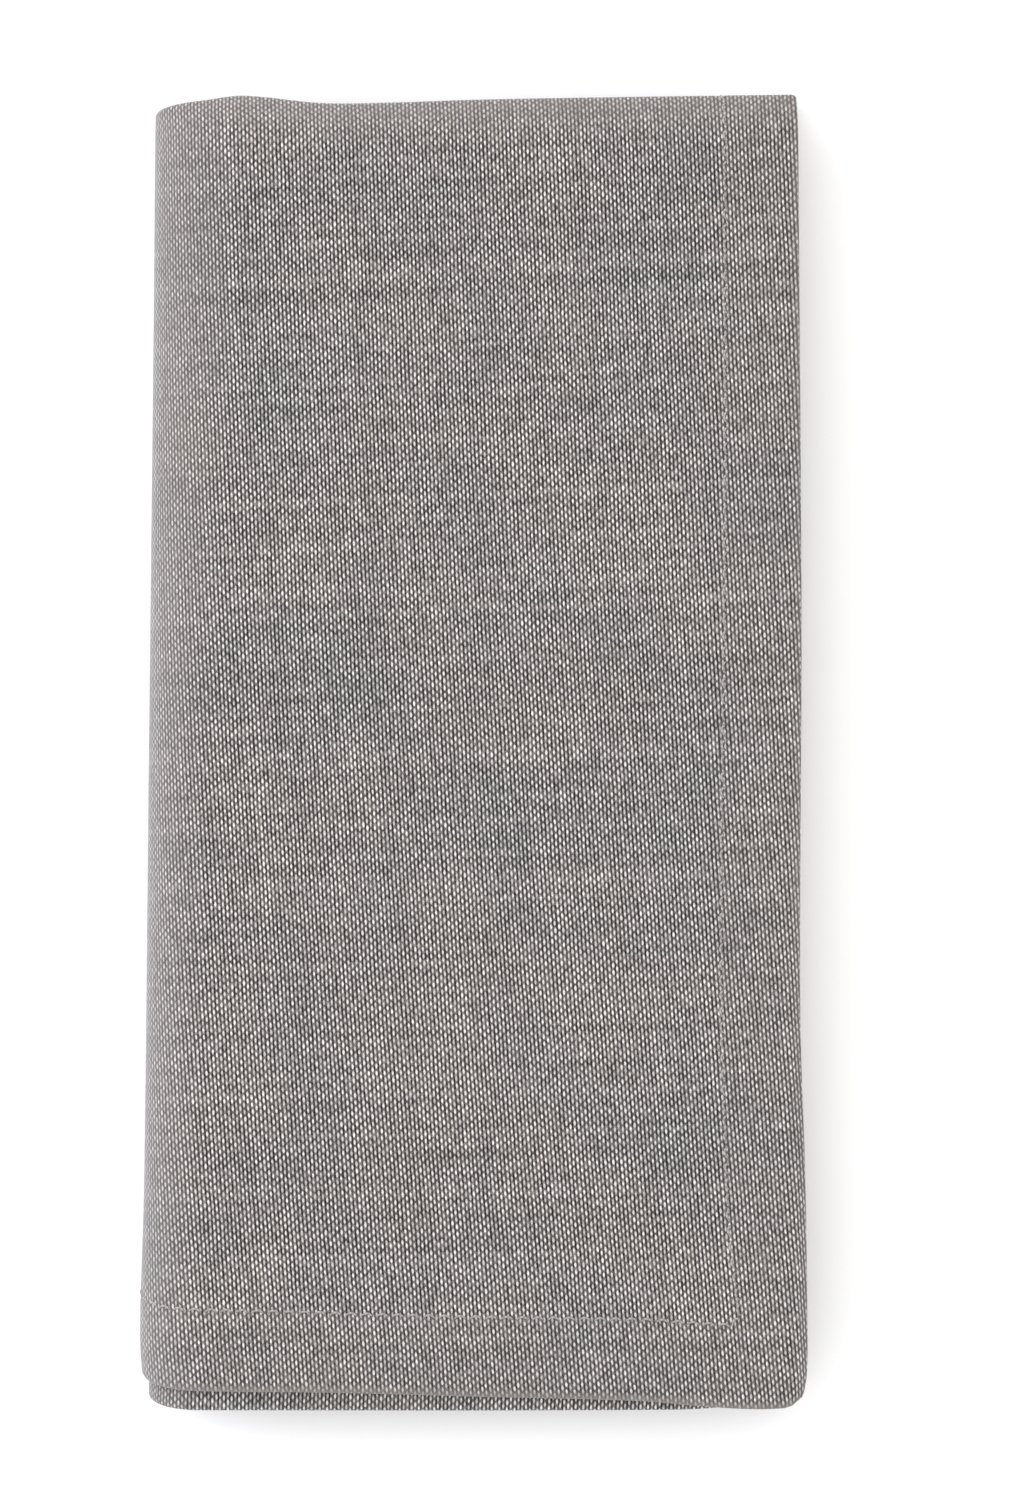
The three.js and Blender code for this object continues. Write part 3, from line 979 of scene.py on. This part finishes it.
def sewing_thread(settings):
    """Two-ply cotton thread, whose plies show as slanting bands of painted light and shade and whose ends
    dive into the cloth, darkened there with painted shade.
    """
    recipe = Recipe("sewing_thread")
    run = recipe.add("ShaderNodeUVMap", uv_map="grain").outputs[0]
    wave = recipe.add("ShaderNodeTexWave", wave_type="BANDS", bands_direction="DIAGONAL")
    recipe.feed(wave.inputs["Vector"], run)
    recipe.feed(wave.inputs["Scale"], PLY_BANDS)
    recipe.feed(wave.inputs["Distortion"], PLY_WAVER)
    plies = wave.outputs["Fac"]
    # The plies' deep and pale bands are painted shade and light on a thread of one colour.
    deep, pale = (opaque([part * tone for part in settings.colour]) for tone in PLY_SHADE_TONES)
    along, _ = recipe.split(run)
    from_middle = recipe.math("DIVIDE", recipe.math("ABSOLUTE", along), settings.stitch_length)
    # Painted shade darkens the thread's ends where they dive into the cloth.
    tone = recipe.ramp(from_middle, *DIVE_SHADE, 1.0, DIVE_SHADE_TONE)
    return recipe.finished({
        "Base Color": recipe.vector("SCALE", recipe.blend(plies, deep, pale), scale=tone),
        "Normal": recipe.bump(plies, strength=0.4, distance=PLY_RELIEF),
        "Roughness": 0.7,
        "Sheen Weight": 0.2,
    })


def white_paper(settings):
    """Matte white paper with the faintest mottle."""
    recipe = Recipe("white_paper")
    place = recipe.add("ShaderNodeTexCoord").outputs["Object"]
    mottle = recipe.noise(place, MOTTLE_SIZE).outputs["Fac"]
    shade = opaque([part * MOTTLE_TONE for part in settings.floor_colour])
    return recipe.finished({
        "Base Color": recipe.blend(mottle, shade, opaque(settings.floor_colour)),
        "Roughness": 1.0,
        "Specular IOR Level": 0.0,
    })


def lay_floor(settings):
    """A paper floor that fills every view, a hair below the cloth so that no two faces share a plane."""
    deselect_all()
    bpy.ops.mesh.primitive_plane_add(size=FLOOR_SIZE, location=(0, 0, -FLOOR_GAP))
    floor = bpy.context.object
    floor.name = "paper_floor"
    floor.data.materials.append(white_paper(settings))


def light_room(settings):
    """Even white light from all round."""
    world = bpy.data.worlds.new("bright_room")
    world.use_nodes = True
    background = world.node_tree.nodes["Background"]
    background.inputs["Color"].default_value = (1, 1, 1, 1)
    background.inputs["Strength"].default_value = settings.room_light
    bpy.context.scene.world = world


def add_softbox(name, place, power, colour):
    """A square soft light that faces the runner."""
    lamp = bpy.data.lights.new(name, "AREA")
    lamp.shape = "SQUARE"
    lamp.size = SOFTBOX_SIZE
    lamp.energy = power
    lamp.color = colour
    softbox = bpy.data.objects.new(name, lamp)
    softbox.location = place
    softbox.rotation_euler = Vector(place).to_track_quat("Z", "Y").to_euler()
    bpy.context.scene.collection.objects.link(softbox)


def place_camera(settings):
    """A camera straight above the photograph's middle, which shows the cloth at the photograph's scale."""
    camera = bpy.data.cameras.new("above")
    camera.sensor_width = SENSOR
    camera.lens = settings.lens
    frame_height = PHOTO_HEIGHT * PIXEL * MM
    distance = frame_height * settings.lens / SENSOR
    viewer = bpy.data.objects.new("above", camera)
    across = (PHOTO_WIDTH / 2 - ORIGIN_COLUMN) * PIXEL * MM
    along = (ORIGIN_ROW - PHOTO_HEIGHT / 2) * PIXEL * MM
    viewer.location = (across, along, distance + OUTLINE_HEIGHT * MM)
    camera.clip_start = distance / CLIP_FACTOR
    camera.clip_end = distance * CLIP_FACTOR
    bpy.context.scene.collection.objects.link(viewer)
    bpy.context.scene.camera = viewer


class ClothSettings(PropertyGroup):
    """Threads and finish of the cloth."""

    warp_pitch: FloatProperty(
        name="Warp pitch", description="Distance between threads that run along the cloth",
        default=0.915 * MM, min=0.2 * MM, unit="LENGTH",
    )
    weft_pitch: FloatProperty(
        name="Weft pitch", description="Distance between threads that run across the cloth",
        default=0.847 * MM, min=0.2 * MM, unit="LENGTH",
    )
    thread_relief: FloatProperty(
        name="Thread relief", description="Height of the threads in the weave's bump",
        default=0.2 * MM, min=0.0, unit="LENGTH",
    )
    warp_colour: FloatVectorProperty(
        name="Warp colour", description="Colour of the pale threads", subtype="COLOR",
        default=(0.808, 0.774, 0.734), min=0.0, max=1.0,
    )
    weft_colour: FloatVectorProperty(
        name="Weft colour", description="Colour of the darker threads", subtype="COLOR",
        default=(0.162, 0.144, 0.134), min=0.0, max=1.0,
    )
    # Painted shade in the gaps between the threads.
    gap_shade_colour: FloatVectorProperty(
        name="Gap colour", description="Colour in the gaps between the threads", subtype="COLOR",
        default=(0.012, 0.010, 0.010), min=0.0, max=1.0,
    )
    # The nap's colour, which at an end's rim and in a seam's groove is partly painted shade.
    nap_and_shade_colour: FloatVectorProperty(
        name="Nap colour", description="Colour of the loose fibres along folds, rims and seams",
        subtype="COLOR", default=(0.194, 0.173, 0.158), min=0.0, max=1.0,
    )
    sheen: FloatProperty(
        name="Sheen", description="Light that loose fibres catch on the slopes", subtype="FACTOR",
        default=0.32, min=0.0, max=1.0,
    )


class StitchSettings(PropertyGroup):
    """The sewing of the hems."""

    stitch_pitch: FloatProperty(
        name="Stitch pitch", description="Distance from one stitch to the next",
        default=3.6 * MM, min=1.0 * MM, unit="LENGTH",
    )
    stitch_length: FloatProperty(
        name="Stitch length", description="Length of the thread that shows in each stitch",
        default=3.2 * MM, min=0.5 * MM, unit="LENGTH",
    )
    thread_thickness: FloatProperty(
        name="Thread thickness", description="Thickness of the sewing thread",
        default=0.56 * MM, min=0.1 * MM, unit="LENGTH",
    )
    arch: FloatProperty(
        name="Arch", description="How far the middle of a stitch stands aside from its ends",
        default=0.9 * MM, min=0.0, unit="LENGTH",
    )
    colour: FloatVectorProperty(
        name="Thread colour", description="Colour of the sewing thread", subtype="COLOR",
        default=(0.29, 0.275, 0.265), min=0.0, max=1.0,
    )


class StageSettings(PropertyGroup):
    """The floor, the lights and the camera."""

    floor_colour: FloatVectorProperty(
        name="Floor colour", description="Colour of the paper floor", subtype="COLOR",
        default=(0.985, 0.985, 0.985), min=0.0, max=1.0,
    )
    room_light: FloatProperty(
        name="Room light", description="Strength of the even light from all round",
        default=1.26, min=0.0,
    )
    side_light: FloatProperty(
        name="Side light", description="Power of the soft light at the left", unit="POWER",
        default=11.3, min=0.0,
    )
    side_light_colour: FloatVectorProperty(
        name="Side light colour", description="Colour of the soft light at the left", subtype="COLOR",
        default=(0.81, 0.835, 1.0), min=0.0, max=1.0,
    )
    back_light: FloatProperty(
        name="Back light", description="Power of the soft light at the back", unit="POWER",
        default=0.9, min=0.0,
    )
    back_light_colour: FloatVectorProperty(
        name="Back light colour", description="Colour of the soft light at the back", subtype="COLOR",
        default=(1.0, 0.60, 0.32), min=0.0, max=1.0,
    )
    lens: FloatProperty(
        name="Lens", description="Focal length of the camera, in millimetres",
        default=200.0, min=20.0,
    )


class RunnerSettings(PropertyGroup):
    """All that a user may change about the runner and its stage."""

    cloth: PointerProperty(name="Cloth", description="Threads and finish of the cloth", type=ClothSettings)
    stitches: PointerProperty(name="Stitches", description="The sewing of the hems", type=StitchSettings)
    stage: PointerProperty(name="Stage", description="Floor, lights and camera", type=StageSettings)


class RUNNER_OT_fold_cloth(Operator):
    """Make the folded cloth in the place of the plain one"""

    bl_idname = "runner.fold_cloth"
    bl_label = "Fold the cloth"
    bl_options = {"REGISTER", "UNDO"}

    def execute(self, context):
        cloth = fold_cloth()
        finish_piece(cloth, woven_cotton(context.scene.runner.cloth))
        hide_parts("runner_cloth")
        return {"FINISHED"}


class RUNNER_OT_sew_hems(Operator):
    """Sew the hems of the folded cloth"""

    bl_idname = "runner.sew_hems"
    bl_label = "Sew the hems"
    bl_options = {"REGISTER", "UNDO"}

    def execute(self, context):
        settings = context.scene.runner.stitches
        stitches = sew_hems(settings)
        finish_piece(stitches, sewing_thread(settings))
        return {"FINISHED"}


class RUNNER_OT_set_stage(Operator):
    """Set the floor, the lights and the camera"""

    bl_idname = "runner.set_stage"
    bl_label = "Set the stage"
    bl_options = {"REGISTER", "UNDO"}

    def execute(self, context):
        settings = context.scene.runner.stage
        lay_floor(settings)
        light_room(settings)
        add_softbox("left_softbox", LEFT_SOFTBOX, settings.side_light, settings.side_light_colour)
        add_softbox("back_softbox", BACK_SOFTBOX, settings.back_light, settings.back_light_colour)
        place_camera(settings)
        context.scene.view_settings.view_transform = "Standard"
        return {"FINISHED"}


class RUNNER_PT_sidebar(Panel):
    """The runner's steps and settings"""

    bl_idname = "RUNNER_PT_sidebar"
    bl_label = "Folded table runner"
    bl_space_type = "VIEW_3D"
    bl_region_type = "UI"
    bl_category = "Table runner"

    def draw(self, context):
        for operator in (RUNNER_OT_fold_cloth, RUNNER_OT_sew_hems, RUNNER_OT_set_stage):
            self.layout.operator(operator.bl_idname)
        runner = context.scene.runner
        for group in (runner.cloth, runner.stitches, runner.stage):
            box = self.layout.box()
            for name in group.__annotations__:
                box.prop(group, name)


CLASSES = (
    ClothSettings,
    StitchSettings,
    StageSettings,
    RunnerSettings,
    RUNNER_OT_fold_cloth,
    RUNNER_OT_sew_hems,
    RUNNER_OT_set_stage,
    RUNNER_PT_sidebar,
)


def register():
    """Adds the settings, the operators and the panel."""
    for item in CLASSES:
        bpy.utils.register_class(item)
    bpy.types.Scene.runner = PointerProperty(type=RunnerSettings)


def unregister():
    """Takes them away again."""
    del bpy.types.Scene.runner
    for item in reversed(CLASSES):
        bpy.utils.unregister_class(item)


def main():
    """Makes the runner and its stage."""
    register()
    bpy.ops.runner.fold_cloth()
    bpy.ops.runner.sew_hems()
    bpy.ops.runner.set_stage()


if __name__ == "__main__":
    main()
